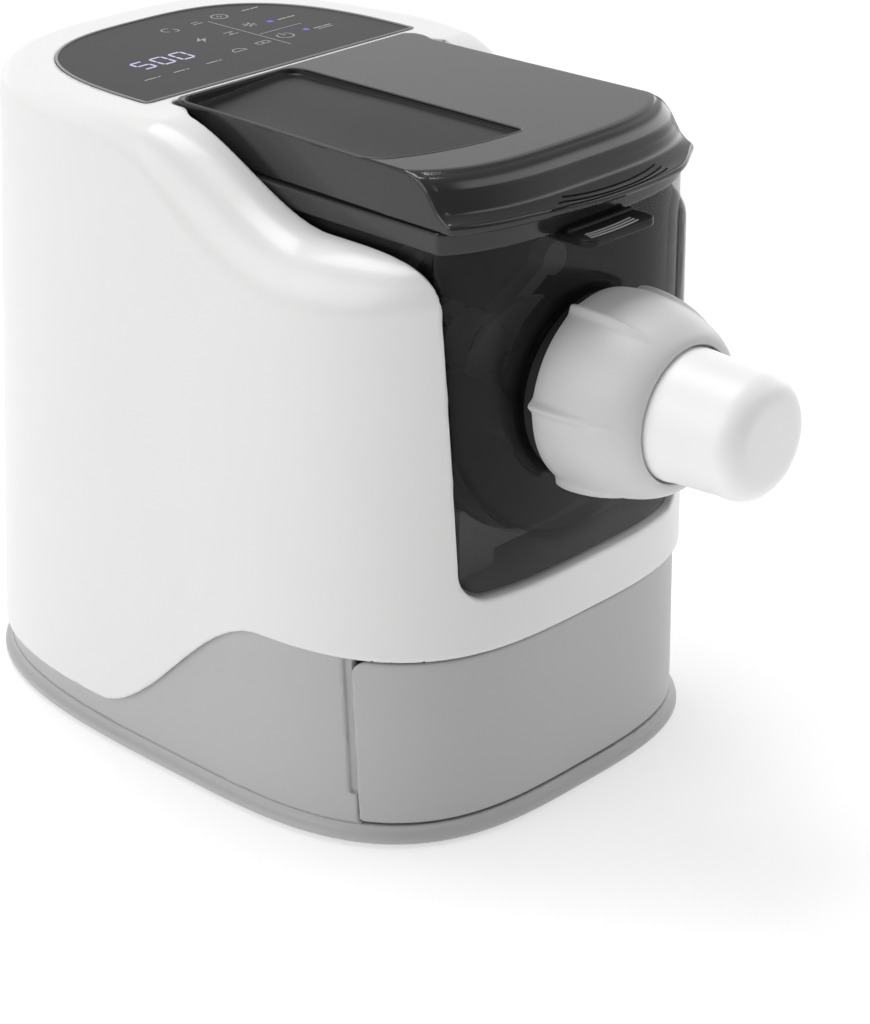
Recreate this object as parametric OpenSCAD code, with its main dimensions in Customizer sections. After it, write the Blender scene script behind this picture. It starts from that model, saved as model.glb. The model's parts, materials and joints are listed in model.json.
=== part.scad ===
// Electric pasta maker: a housing on a grey base, a pull-out mixing bowl with
// its lid, shaft, auger and nozzle, a storage drawer, and the motor and gear
// train behind the bowl. Front is -Y, up is +Z, rest surface is z = 0.

/* [Housing] */
// Half of the grey wall's width at the rest surface
wall_half_w = 107.5; // [100:0.5:112]
// How far the front of the wall stands before the housing's own middle
front_reach = 147.3; // [140:0.1:150]
// How far the rear of the wall stands behind it
rear_reach = 147.3; // [140:0.1:150]
// Height of the housing's flat top
body_h = 273; // [268:1:276]
// How far the white shell stands proud of the grey wall
shell_proud = 2.6; // [2:0.1:3.2]
// Height of the white shell's lower edge at the front
shell_edge_front = 82.2; // [76:0.2:86]
// Height of the white shell's lower edge at the sides, where it levels out
shell_edge_side = 19.4; // [14:0.2:24]
// Radius along the top edge of the housing
top_edge_r = 11; // [6:0.5:14]

/* [Bowl and nozzle] */
// Height of the shaft, nozzle and output gear axis
shaft_z = 179.9; // [176:0.1:184]
// Inner radius of the mixing trough
trough_r = 62.8; // [58:0.1:63.5]
// Wall of the mixing bowl
bowl_wall = 2.7; // [2:0.1:3]
// Height of the bowl's rim
rim_z = 254.5; // [252:0.1:255]
// Bore radius of the extruder barrel
barrel_bore = 27; // [25:0.1:28]
// Outer radius of the extruder barrel
barrel_r = 32; // [31:0.1:33]
// Radius of the outlet hood at its base
hood_r = 26.3; // [25:0.1:27]
// Front face of the outlet hood, before the housing's middle
hood_front = 235.4; // [230:0.1:240]

/* [Lid] */
// Height of the lid's flat top
lid_top = 274.5; // [273:0.1:276]
// Half width of the lid
lid_half_w = 69.5; // [66:0.5:70]
// Radius of the lid's rolled rear edge, about its hinge axis
lid_roll_r = 8; // [7:0.1:8.2]
// How far the lid's rear lip reaches from the hinge axis
lid_swing_r = 12.2; // [11.5:0.1:12.4]

/* [Drive] */
// Height of the motor axis
motor_z = 75; // [72:1:78]
// Radius of the motor can
motor_r = 36; // [32:1:38]
// Teeth of the motor pinion
teeth_p1 = 12; // [12:1:14]
// Teeth of the first gear
teeth_g1 = 72; // [70:1:74]
// Teeth of the second and third pinions
teeth_p2 = 14; // [14:1:15]
// Teeth of the second gear
teeth_g2 = 56; // [54:1:58]
// Teeth of the output gear
teeth_g3 = 56; // [54:1:57]

/* [Hidden] */
$fn = 48;
eps = 0.02;
side_draft = 0.0371;
rear_draft = 0.05;
front_draft = 0.0022;
nf = 3.23;          // squareness of the front half of the outline
nr = 3.03;          // squareness of the rear half
front_b = 120.5;    // length of the front half
rear_b = 162.3;     // length of the rear half
lip_off = 3.2;      // foot lip, proud of the grey wall
// the whole object is moved so that its box is centred on the origin
y_shift = (hood_front - (rear_reach - rear_draft * 2.8 + lip_off)) / 2;

wt = 2.6;           // wall of both shells
bay_half_top = 71.6;   // half width of the bowl bay at z 248
bay_taper = 0.0445;    // it narrows downwards
bay_floor = 105;
bay_rear = 11;
bay_r = 9;
cheek_z = 242.2;    // height of the cheeks beside the bowl
hinge_y = 2.5;
hinge_z = lid_top - lid_roll_r;
ear_x = 69;         // the bowl's two ears stand beside the lid's ends
ear_r = 4.4;
lid_rear = 12.8;    // the lid's rear lip stands this far back
drawer_seam = -110.5;
deck = 95;
edge_fall = 0.03;   // the white lower edge falls slightly towards the rear
seam_lean = 0.057;  // the drawer's end seams lean back towards the top
inlet_z = 33;

// ---------- outline of the housing ----------
function hw(z) = wall_half_w - side_draft * z;
function yf(z) = -front_reach - front_draft * z;
function yr(z) = rear_reach - rear_draft * z;
function spow(v, p) = sign(v) * pow(abs(v), p);
// one closed ring of the outline at height z, grown by o
function ring(z, o, n = 14) = [for (i = [0:4 * n - 1])
  let (t = 90 * i / n, s = sin(t), rear = s > -0.0001, e = 2 / (rear ? nr : nf),
       b = (rear ? rear_b : front_b), yc = rear ? yr(z) - b : yf(z) + b)
  [(hw(z) + o) * spow(cos(t), e), yc + (b + o) * spow(s, e)]];

// a solid through rings given as [z, offset], from low to high
module loft(levels, n = 14) {
  m = 4 * n;
  k = len(levels);
  pts = [for (l = levels) for (p = ring(l[0], l[1], n)) [p[0], p[1], l[0]]];
  sides = [for (j = [0:k - 2]) for (i = [0:m - 1]) let (a = j * m + i, b = j * m + (i + 1) % m)
    each [[a, a + m, b + m], [a, b + m, b]]];
  polyhedron(points = pts, convexity = 6,
    faces = concat([[for (i = [0:m - 1]) i]], sides, [[for (i = [m - 1:-1:0]) (k - 1) * m + i]]));
}
module env(o, z0, z1, n = 14) { loft([[z0, o], [z1, o]], n); }

// ---------- shared profiles ----------
module placed() { translate([0, y_shift, 0]) children(); }
// round bar along +Y from y0
module bar(x, y0, z, l, r) { translate([x, y0, z]) rotate([-90, 0, 0]) cylinder(h = l, r = r); }
// outline drawn in x and z, made solid from y0 to y0 + l
module slab(y0, l) { translate([0, y0 + l, 0]) rotate([90, 0, 0]) linear_extrude(l) children(); }
// outline drawn in y and z, made solid across x
module across(x0, l) { translate([x0, 0, 0]) rotate([90, 0, 90]) linear_extrude(l) children(); }

function smooth(t) = let (c = max(0, min(1, t))) 3 * c * c - 2 * c * c * c;
// top edge of the cheek beside the bowl: from the flat top down to the front
function cheek(y) = cheek_z + (body_h + 0.5 - cheek_z) * smooth((y + 80) / 84);
// lower edge of the white shell
function wave(y) = shell_edge_front + (shell_edge_side - shell_edge_front) * smooth((y + 70) / 98);

module above_cheek(d = 0) {
  across(-130, 260) translate([0, -d]) polygon(concat(
    [[4, 320], [4, body_h + 2.5]], [for (y = [4:-6:-80]) [y, cheek(y) + (y > 3 ? 1.5 : 0)]],
    [for (a = [0:15:90]) [-129 - 8.5 * sin(a), cheek_z - 8.5 * (1 - cos(a))]],
    [[-180, cheek_z - 8.5], [-180, 320]]));
}
module below_wave(d = 0) {
  across(-130, 260) polygon(concat([[-200, -10], [-200, wave(-90) + d]],
    [for (y = [-70:7:28]) [y, wave(y) + d]], [[200, shell_edge_side - edge_fall * 172 + d], [200, -10]]));
}
function bay_x(z) = bay_half_top - bay_taper * (248 - z);
// section of the bowl bay, grown by g
module bay_section(g = 0) {
  r = bay_r + g; zb = bay_floor - g; xb = bay_x(zb) + g;
  polygon(concat([[bay_x(320) + g, 320]],
    [for (a = [0:-15:-90]) [xb - r + r * cos(a), zb + r + r * sin(a)]],
    [for (a = [-90:-15:-180]) [-xb + r + r * cos(a), zb + r + r * sin(a)]],
    [[-bay_x(320) - g, 320]]));
}
// outline of the touch panel: square front, rounded rear
function panel_pts(g = 0) = concat([for (i = [0:24]) let (t = 180 * i / 24)
  [(75.8 + g) * spow(cos(t), 2 / 2.9), 17.2 + (94.8 + g) * pow(sin(t), 2 / 2.9)]],
  [[-75.8 - g, 17.2 - g], [75.8 + g, 17.2 - g]]);

// where the leaning seam of the drawer stands at height z, moved back by d
function seam(z, d = 0) = drawer_seam + d + seam_lean * (z - 44);
// strip between two lines beside the seam, from z0 to z1
module seam_strip(z0, z1, d0, d1) across(-130, 260) polygon([[seam(z0, d0), z0], [seam(z0, d1), z0], [seam(z1, d1), z1], [seam(z1, d0), z1]]);

// ---------- base ----------
screw_at = [[98.5, -70], [-98.5, -70], [98.3, 40], [-98.3, 40], [58, 128.5], [-58, 128.5]];
foot_at = [[72, -96], [-72, -96], [72, 100], [-72, 100]];

module base_plate() color([0.66, 0.66, 0.67]) placed() difference() {
  loft([[1.8, 2.2], [2.6, lip_off], [4.4, lip_off], [5.4, 2.2], [6.6, 1.1], [8.6, 0.3]]);
  env(-3.4, 4.6, 12);
  for (p = screw_at) translate([p[0], p[1], -1]) { cylinder(h = 20, r = 2.2); cylinder(h = 3.9, r = 4); }
  for (p = foot_at) translate([p[0], p[1], 0]) cylinder(h = 3, r = 9.1);
  // air slots below the motor
  for (i = [-4:4]) translate([i * 9 - 2, 84, 0]) cube([4, 44, 10]);
}
module rubber_feet() color([0.1, 0.1, 0.1]) placed()
  for (p = foot_at) translate([p[0], p[1], 0]) { cylinder(h = 2.95, r = 9); }
module base_screws() color("silver") placed()
  for (p = screw_at) translate([p[0], p[1], 0]) difference() {
    union() { translate([0, 0, 2.95]) cylinder(h = 20, r = 1.9); translate([0, 0, 0.9]) cylinder(h = 2, r = 3.6);
      translate([0, 0, 2.8]) cylinder(h = 0.3, r = 1.9); }
    translate([-0.4, -2.4, 0]) cube([0.8, 4.8, 1.6]);
    translate([-2.4, -0.4, 0]) cube([4.8, 0.8, 1.6]);
  }
module base_shell() color([0.68, 0.68, 0.69]) placed() difference() {
  union() {
    difference() { env(0, 8.62, deck); env(-wt, 6, deck + 5); }
    for (p = screw_at) translate([p[0], p[1], 8.62]) cylinder(h = 24, r = 5.4);
  }
  difference() { env(20, 0, 8.7); }
  // bay that the drawer fills, open to the front
  seam_strip(9.2, 81.4, -90, 0);
  // finger grooves beside the drawer's ends
  difference() {
    seam_strip(22, 93, -1, 2.6);
    env(-1.3, 10, 96);
  }
  for (p = screw_at) translate([p[0], p[1], 5]) cylinder(h = 24, r = 1.95);
  translate([-15, 120, inlet_z - 11]) cube([30, 40, 22]);
  translate([-37, 120, 64]) cube([74, 40, 25]);
}
module drawer_rails() color([0.3, 0.3, 0.31]) placed()
  for (s = [0, 1]) mirror([s, 0, 0]) translate([78, 0, 0]) difference() {
    translate([0, -100, 4.62]) cube([10.5, 112, 60]);
    translate([-1, -101, 10.9]) cube([6.5, 114, 60]);
  }

// ---------- white shell ----------
module upper_shell() color([0.94, 0.94, 0.94]) placed() difference() {
  loft([[8, shell_proud], [body_h - top_edge_r, shell_proud],
    for (a = [22.5:22.5:90]) [body_h - top_edge_r + top_edge_r * sin(a), shell_proud - top_edge_r + top_edge_r * cos(a)]]);
  above_cheek();
  below_wave();
  difference() {
    union() {
      slab(-190, 190 + bay_rear) bay_section();
      // the lid's rear lip swings down into this recess
      intersection() {
        slab(-20, 50) bay_section();
        translate([-90, hinge_y, hinge_z]) rotate([0, 90, 0]) cylinder(h = 180, r = lid_swing_r + 0.5, $fn = 72);
      }
    }
    // lips over the hinge ears, rounded like the lid's corners
    for (s = [0, 1]) mirror([s, 0, 0]) translate([0, 0, body_h - 1.6]) linear_extrude(8) polygon(concat(
      [[80, -7], [73.2, -6], [71.6, -3.5], [69.2, 1.5], [68.2, 4.5]],
      [for (a = [0:15:90]) [63 + 5.2 * cos(a), 9 + 5.2 * sin(a)]], [[63, 20], [80, 20]]));
  }
  difference() {
    loft([[4, 0.2], [body_h - top_edge_r, 0.2], [body_h - wt - 1, shell_proud - top_edge_r - 1.6]]);
    above_cheek(wt);
    slab(-195, 195 + bay_rear + wt) bay_section(wt);
    translate([-90, 0, 251]) cube([180, 17.4, 30]);
  }
  translate([0, 0, body_h - 1.3]) linear_extrude(10) polygon(panel_pts(0.25));
  bar(0, 0, shaft_z, 30, 16);
  translate([-43, 100, 60]) cube([86, 60, 70]);
  translate([-14, 120, inlet_z - 10]) cube([28, 40, 20]);
}
module bowl_cradle() color([0.2, 0.2, 0.21]) placed() difference() {
  slab(-126, 130) polygon([[50, bay_floor + 0.05], [50, 134], [-50, 134], [-50, bay_floor + 0.05]]);
  bar(0, -140, shaft_z, 160, trough_r + bowl_wall + 0.7);
  translate([-30, -140, 100]) cube([60, 160, 12]);
}
module rear_grille() color([0.6, 0.6, 0.61]) placed() difference() {
  intersection() {
    translate([-42.7, 100, 60.3]) cube([85.4, 60, 69.4]);
    difference() { env(2.2, 50, 140); env(0.1, 40, 150); }
  }
  for (i = [0:8]) translate([-36, 100, 65.5 + i * 7]) cube([72, 60, 3.2]);
}
module power_inlet() color([0.12, 0.12, 0.12]) placed() translate([0, 0, inlet_z]) difference() {
  union() {
    translate([-13.8, 131, -9.8]) cube([27.6, 16.8, 19.6]);
    translate([-17, 138.6, -12.4]) cube([34, 3.4, 24.8]);
  }
  translate([-12, 134.5, -8]) cube([24, 20, 16]);
  for (x = [-7, 0, 7]) translate([x, 100, x == 0 ? 2.5 : -2]) rotate([-90, 0, 0]) cylinder(h = 40, r = 1.6);
}
module inlet_pins() color("silver") placed() translate([0, 0, inlet_z])
  for (x = [-7, 0, 7]) bar(x, 125, x == 0 ? 2.5 : -2, 18, 1.58);

// ---------- control panel ----------
touch_at = [[-48, 33], [-34, 33], [-20, 33], [8, 30], [22, 34], [36, 38], [50, 30], [20, 62], [38, 62], [54, 62]];
module control_panel() color([0.35, 0.35, 0.36]) placed()
  translate([0, 0, body_h - 1.25]) linear_extrude(1.5) polygon(panel_pts());
module display_module() color([0.08, 0.1, 0.12]) placed() difference() {
  translate([-54, 44, body_h - 10.8]) cube([56, 24, 7]);
  translate([-51, 47, body_h - 5]) cube([50, 18, 3]);
}
module touch_springs() color("silver") placed()
  for (p = touch_at) translate([p[0], p[1], body_h - 12.6]) difference() {
    cylinder(h = 8.8, r = 3.4); translate([0, 0, -1]) cylinder(h = 12, r = 2.7); }
module control_board() color([0.1, 0.35, 0.2]) placed() difference() {
  union() {
    translate([-66, 24, body_h - 14.3]) cube([132, 72, 1.6]);
    translate([-40, 74, body_h - 19]) cube([16, 16, 4.8]);
    translate([10, 80, body_h - 17.4]) cube([22, 10, 3.2]);
  }
  for (x = [-61, 61], y = [29, 91]) translate([x, y, 200]) cylinder(h = 80, r = 1.6);
}
module power_board() color([0.12, 0.38, 0.22]) placed() union() {
  translate([-73.2, 80, 24]) cube([1.6, 33, 84]);
  translate([-71.7, 84, 34]) cube([19.2, 24, 24]);
  translate([-71.7, 96, 76]) rotate([0, 90, 0]) cylinder(h = 17.2, r = 8);
  translate([-71.7, 84, 90]) cube([13.2, 26, 9]);
}
module reed_switch() color([0.85, 0.85, 0.8]) placed()
  translate([0, 17.5, 262.5]) translate([-9, 0, -3]) cube([18, 4, 6]);

// ---------- drive ----------
pa = 25;
function rp(n, m) = n * m / 2;
function ia(r, rb) = let (a = acos(min(1, rb / r))) tan(a) * 180 / PI - a;
// involute spur gear outline, a tooth centred on angle a0
function gear_pts(n, m, a0 = 0) = let (
    p = rp(n, m), rb = p * cos(pa), ra = p + 0.82 * m, rr = p - 1.15 * m, lo = max(rb, rr),
    h0 = 90 / n - 0.07 / p * 180 / PI + ia(p, rb))
  [for (k = [0:n - 1]) let (c = a0 + 360 * k / n) each concat(
    rr < rb ? [rr * [cos(c - h0), sin(c - h0)]] : [],
    [for (j = [0:4]) let (r = lo + (ra - lo) * j / 4, h = h0 - ia(r, rb)) r * [cos(c - h), sin(c - h)]],
    [for (j = [4:-1:0]) let (r = lo + (ra - lo) * j / 4, h = h0 - ia(r, rb)) r * [cos(c + h), sin(c + h)]],
    rr < rb ? [rr * [cos(c + h0), sin(c + h0)]] : [])];
m1 = 1; m2 = 1.25; m3 = 1.75;
cd1 = rp(teeth_p1 + teeth_g1, m1);
cd2 = rp(teeth_p2 + teeth_g2, m2);
cd3 = rp(teeth_p2 + teeth_g3, m3);
axM = [0, motor_z];
axO = [0, shaft_z];
ax2 = [-35, shaft_z - sqrt(cd3 * cd3 - 35 * 35)];
d02 = norm(ax2 - axM);
u02 = (ax2 - axM) / d02;
k02 = (cd1 * cd1 - cd2 * cd2 + d02 * d02) / (2 * d02);
h02 = sqrt(cd1 * cd1 - k02 * k02);
ax1 = axM + k02 * u02 + h02 * [u02[1], -u02[0]];
function dir(a, b) = atan2(b[1] - a[1], b[0] - a[0]);
// phase of gear b so that it meshes with gear a, which has a tooth at angle pha
function mesh(a, na, pha, b, nb) = let (f = dir(a, b)) f + 180 + ((f - pha) * na - 180) / nb;
phM = 0;
ph1 = mesh(axM, teeth_p1, phM, ax1, teeth_g1);
ph1p = 0;
ph2 = mesh(ax1, teeth_p2, ph1p, ax2, teeth_g2);
ph2p = 0;
ph3 = mesh(ax2, teeth_p2, ph2p, axO, teeth_g3);
module toothed(ax, y0, l, n, m, ph, bore) translate([ax[0], y0 + l, ax[1]]) rotate([90, 0, 0]) difference() {
  linear_extrude(l) polygon(gear_pts(n, m, ph));
  translate([0, 0, -1]) cylinder(h = l + 2, r = bore);
}

module motor_can() color([0.62, 0.63, 0.65]) placed() difference() {
  union() { bar(0, 74.1, motor_z, 56, motor_r); bar(0, 130, motor_z, 4, 15); }
  bar(0, 77, motor_z, 50.4, motor_r - 1.6);
  bar(0, 70, motor_z, 80, 4.6);
  bar(0, 127, motor_z, 5.5, 8.05);
  bar(0, 74, motor_z, 5.5, 8.05);
  for (a = [0:60:300]) bar(22 * cos(a), 120, motor_z + 22 * sin(a), 20, 4);
  for (a = [45, 225]) bar(27 * cos(a), 70, motor_z + 27 * sin(a), 12, 1.75);
}
module motor_stator() color([0.72, 0.45, 0.2]) placed() difference() {
  union() { bar(0, 84, motor_z, 28, motor_r - 1.75); bar(0, 80, motor_z, 36, motor_r - 7); }
  bar(0, 60, motor_z, 100, 19.5);
  for (a = [0:60:300]) translate([0, 60, motor_z]) rotate([-90, 0, 0]) rotate([0, 0, a]) translate([17, -2, 0]) cube([9, 4, 90]);
}
module motor_bearings() color("silver") placed()
  for (y = [74.4, 127.2]) difference() { bar(0, y, motor_z, 5, 8); bar(0, y - 1, motor_z, 8, 4.03); }
module motor_screws() color("silver") placed()
  for (a = [45, 225]) { bar(27 * cos(a), 70.95, motor_z + 27 * sin(a), 5.5, 1.7); bar(27 * cos(a), 68.8, motor_z + 27 * sin(a), 2.2, 3.2); }

module box_outline(g) hull() {
  translate(axO) circle(r = 54 + g); translate(ax1) circle(r = 40 + g);
  translate(ax2) circle(r = 39.5 + g); translate(axM) circle(r = 33 + g);
}
box_bolts = [[axO[0] + 55.5, axO[1] + 12], [axO[0] - 55.5, axO[1] + 12], [axO[0], axO[1] + 57], [axM[0] + 33, axM[1] - 22.5], [axM[0] - 33, axM[1] - 22.5]];
module gearbox_case() color([0.55, 0.56, 0.58]) placed() difference() {
  union() {
    slab(16, 29.95) box_outline(3);
    for (p = box_bolts) bar(p[0], 16, p[1], 29.95, 5);
  }
  slab(19, 40) box_outline(0);
  for (p = box_bolts) bar(p[0], 10, p[1], 60, 1.9);
  bar(axO[0], 10, axO[1], 20, 11);
  for (p = [ax1, ax2]) bar(p[0], 17, p[1], 20, 8.05);
}
module gearbox_cover() color([0.55, 0.56, 0.58]) placed() difference() {
  union() {
    slab(46, 28) box_outline(3);
    for (p = box_bolts) bar(p[0], 46, p[1], 28, 5);
  }
  slab(40, 31) box_outline(0);
  for (p = box_bolts) bar(p[0], 40, p[1], 60, 2.2);
  bar(axO[0], 65, axO[1], 8, 11);
  for (p = [ax1, ax2]) bar(p[0], 65, p[1], 8, 8.05);
  bar(axM[0], 65, axM[1], 20, 8.5);
  for (a = [45, 225]) bar(27 * cos(a), 65, motor_z + 27 * sin(a), 20, 1.75);
}
// front and rear bushes of the three shafts, each with a shoulder
module gearbox_bearings() color([0.72, 0.55, 0.3]) placed() {
  difference() { union() { bar(0, 16, shaft_z, 3, 10.95); bar(0, 19.05, shaft_z, 4, 14); bar(0, 18.5, shaft_z, 1, 10.95); } bar(0, 10, shaft_z, 20, 8.04); }
  difference() { union() { bar(0, 70.9, shaft_z, 2, 10.95); bar(0, 66.95, shaft_z, 4, 14); } bar(0, 60, shaft_z, 12, 6.04); }
  for (p = [ax1, ax2]) {
    difference() { union() { bar(p[0], 17.05, p[1], 2.5, 8); bar(p[0], 19.05, p[1], 3, 8.6); } bar(p[0], 17.6, p[1], 20, 4.04); }
    difference() { union() { bar(p[0], 70.8, p[1], 2.1, 8); bar(p[0], 67.95, p[1], 3, 8.6); } bar(p[0], 60, p[1], 12, 4.04); }
  }
}
module gearbox_screws() color("silver") placed()
  for (p = box_bolts) { bar(p[0], 30, p[1], 44.1, 1.88); bar(p[0], 74.05, p[1], 3, 3.4); }
// insulated lead from the power board's filter to the motor
lead_path = [for (t = [0:0.1:1.001]) [-54.3 + 19.2 * t, 96, 76 - 12 * smooth(t)]];
module motor_lead() color([0.75, 0.2, 0.15]) placed() {
  n = 8; k = len(lead_path);
  polyhedron(convexity = 4, points = [for (p = lead_path) for (i = [0:n - 1]) p + 1.8 * [0, cos(360 * i / n), sin(360 * i / n)]],
    faces = concat([[for (i = [n - 1:-1:0]) i]], [[for (i = [0:n - 1]) (k - 1) * n + i]],
      [for (j = [0:k - 2]) for (i = [0:n - 1]) let (a = j * n + i, b = j * n + (i + 1) % n) each [[a, b, b + n], [a, b + n, a + n]]]));
}

// ---------- turning parts of the drive ----------
module motor_shaft() color("silver") placed() bar(0, 55.5, motor_z, 78, 4);
module motor_rotor() color([0.55, 0.35, 0.2]) placed() difference() {
  union() { bar(0, 85, motor_z, 26, 18.9); bar(0, 79.8, motor_z, 6, 11); }
  bar(0, 60, motor_z, 80, 4.02);
  for (a = [0:30:330]) bar(16.6 * cos(a), 84, motor_z + 16.6 * sin(a), 40, 1.3);
}
module cooling_fan() color([0.2, 0.2, 0.2]) placed() difference() {
  union() {
    bar(0, 118.5, motor_z, 7.5, 9);
    for (a = [0:40:320]) translate([0, 0, motor_z]) rotate([0, a, 0]) translate([8, 118.5, -1]) cube([22, 7, 2]);
  }
  bar(0, 100, motor_z, 40, 4.02);
}
module motor_pinion() color([0.8, 0.8, 0.75]) placed() toothed(axM, 56, 9, teeth_p1, m1, phM, 4.02);
module first_gear() color([0.9, 0.88, 0.8]) placed() difference() {
  toothed(ax1, 56.5, 8, teeth_g1, m1, ph1, 4.02);
  for (a = [0:60:300]) bar(ax1[0] + 21 * cos(a), 50, ax1[1] + 21 * sin(a), 20, 6.5);
}
module first_layshaft() color("silver") placed() union() {
  bar(ax1[0], 18, ax1[1], 53.5, 4);
  toothed(ax1, 42.6, 11, teeth_p2, m2, ph1p, 3.9);
}
module second_gear() color([0.9, 0.88, 0.8]) placed() difference() {
  toothed(ax2, 43, 10, teeth_g2, m2, ph2, 4.02);
  for (a = [0:60:300]) bar(ax2[0] + 20 * cos(a), 40, ax2[1] + 20 * sin(a), 20, 6.5);
}
module second_layshaft() color("silver") placed() union() {
  bar(ax2[0], 18, ax2[1], 53.5, 4);
  toothed(ax2, 25.6, 15, teeth_p2, m3, ph2p, 3.9);
}
module output_gear() color([0.9, 0.88, 0.8]) placed() difference() {
  toothed(axO, 26, 14, teeth_g3, m3, ph3, 9.02);
  for (a = [30:60:330]) bar(31 * cos(a), 20, shaft_z + 31 * sin(a), 30, 9);
}
module hexbar(y0, l, af) translate([0, y0, shaft_z]) rotate([-90, 0, 0]) cylinder(h = l, r = af / sqrt(3), $fn = 6);
module output_shaft() color("silver") placed() union() {
  bar(0, 23.3, shaft_z, 20, 9);
  bar(0, 15.5, shaft_z, 8, 8);
  bar(0, 43, shaft_z, 28.5, 6);
  hexbar(2, 14, 12);
}

// ---------- drawer ----------
module drawer_front() color([0.66, 0.66, 0.67]) placed() difference() {
  intersection() {
    difference() { env(0, 9.7, 80.4); env(-wt, 5, 85); }
    across(-130, 260) polygon(concat([[-200, 0], [seam(0, -0.5), 0]],
      [for (a = [0:22.5:90]) [seam(74, -6.9) + 6.4 * cos(a), 74 + 6.4 * sin(a)]], [[-200, 80.4]]));
  }
  for (q = drawer_screw_at) bar(q[0], -144.6, q[1], 6, 1.45);
}
drawer_screw_at = [for (x = [-40, 40], z = [28, 58]) [x, z]];
module drawer_tray() color([0.6, 0.6, 0.61]) placed() difference() {
  intersection() { translate([-83, -180, 11]) cube([166, 186, 61]); env(-wt - 0.1, 5, 90); }
  intersection() { translate([-81, -180, 13.2]) cube([162, 184, 70]); env(-wt - 2.2, 5, 90); }
  for (q = drawer_screw_at) bar(q[0], -144.6, q[1], 6, 1.45);
}
module drawer_screws() color("silver") placed()
  for (q = drawer_screw_at) { bar(q[0], -144.5, q[1], 5, 1.4); bar(q[0], -139.9, q[1], 2.3, 3); }

// ---------- bowl ----------
module trough_section(r) union() {
  translate([0, shaft_z]) circle(r = r);
  polygon([[-r, shaft_z], [r, shaft_z], [r + 2, 232], [66.8 + r - trough_r, 243], [66.8 + r - trough_r, 300], [trough_r - 66.8 - r, 300], [trough_r - 66.8 - r, 243], [-r - 2, 232]]);
}
module mixing_bowl() color([0.2, 0.2, 0.21]) placed() difference() {
  union() {
    difference() {
      intersection() {
        union() {
          slab(-160, 163) trough_section(trough_r + bowl_wall);
          slab(-160, 40) bay_section(-1.35);
        }
        env(0, 100, 280);
        translate([-100, -170, 100]) cube([200, 200, rim_z - 100]);
      }
      // inside of the trough, and the space behind the front wall's wings
      intersection() { slab(-170, 170) trough_section(trough_r); env(-3, 90, 290); }
      difference() {
        intersection() { translate([-100, -170, 90]) cube([200, 170, 200]); env(-3, 90, 290); }
        slab(-180, 200) trough_section(trough_r + bowl_wall);
        translate([-100, -180, 246]) cube([200, 200, 40]);
      }
    }
    // thumb tab below the lid's lip
    translate([-20, -161.5, 243.2]) cube([40, 15, 2.8]);
    // hinge ears
    for (s = [-1, 1]) difference() {
      union() { translate([s * ear_x - 1.3, hinge_y - ear_r, 240]) cube([2.6, ear_r + 0.4, hinge_z - 240]);
        translate([s * ear_x - 1.3, hinge_y, hinge_z]) rotate([0, 90, 0]) cylinder(h = 2.6, r = ear_r); }
      translate([s * ear_x - 3, hinge_y, hinge_z]) rotate([0, 90, 0]) cylinder(h = 6, r = 2.05);
    }
  }
  bar(0, -200, shaft_z, 70, barrel_r);
  bar(0, -20, shaft_z, 60, 13);
}
module extruder_barrel() color([0.15, 0.15, 0.16]) placed() difference() {
  union() {
    bar(0, -186, shaft_z, 86, barrel_r - 0.05);
    bar(0, -141, shaft_z, 3.5, 40);
  }
  bar(0, -190, shaft_z, 130, barrel_bore);
  bar(0, -190, shaft_z, 9, 29.5);
  translate([-40, -136, shaft_z]) cube([80, 60, 60]);
}
module barrel_gasket() color([0.12, 0.12, 0.12]) placed() difference() {
  bar(0, -151.8, shaft_z, 7, 36.5);
  bar(0, -160, shaft_z, 20, barrel_r + 0.02);
  env(0.03, 130, 230);
}
module shaft_seal() color([0.08, 0.08, 0.08]) placed() difference() {
  union() { bar(0, -0.5, shaft_z, 3.45, 12.98); bar(0, -3, shaft_z, 2.95, 17); }
  bar(0, -10, shaft_z, 20, 9.05);
}

// ---------- mixer ----------
module mixing_shaft() color([0.85, 0.85, 0.83]) placed() bar(0, -176, shaft_z, 177.5, 9);
module drive_socket() color([0.85, 0.85, 0.83]) placed() difference() {
  union() { bar(0, 1.55, shaft_z, 12, 9); bar(0, 5, shaft_z, 8.55, 11.5); }
  hexbar(1.9, 20, 12.3);
}
paddles = [[-88, 30], [-68, 150], [-48, 270], [-28, 30], [-12, 150]];
module mixing_paddles() color([0.9, 0.9, 0.88]) placed()
  for (p = paddles) translate([0, p[0], shaft_z]) rotate([0, -p[1], 0]) difference() {
    union() {
      rotate([-90, 0, 0]) translate([0, 0, -5]) cylinder(h = 10, r = 13);
      translate([10, -4, -3]) cube([40, 8, 6]);
      translate([50, 0, 0]) rotate([90, 0, 0]) translate([0, 0, -4]) cylinder(h = 8, r = 7);
    }
    rotate([-90, 0, 0]) translate([0, 0, -20]) cylinder(h = 40, r = 9.01);
  }
module auger_screw() color([0.9, 0.9, 0.88]) placed() {
  n = 20; turns = 2.9; pitch = 27; r1 = 9.25; r2 = 26.3; th = 4; k = round(n * turns);
  pts = [for (i = [0:k]) let (a = 360 * i / n, y = -177 + pitch * i / n)
    each [for (q = [[r1, 0], [r2, 0.8], [r2, th - 0.8], [r1, th]]) [q[0] * cos(a), y + q[1], shaft_z + q[0] * sin(a)]]];
  polyhedron(points = pts, convexity = 10, faces = concat([[3, 2, 1, 0]], [[4 * k, 4 * k + 1, 4 * k + 2, 4 * k + 3]],
    [for (i = [0:k - 1]) for (j = [0:3]) let (a = 4 * i + j, b = 4 * i + (j + 1) % 4) each [[a, b, b + 4], [a, b + 4, a + 4]]]));
}

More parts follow.
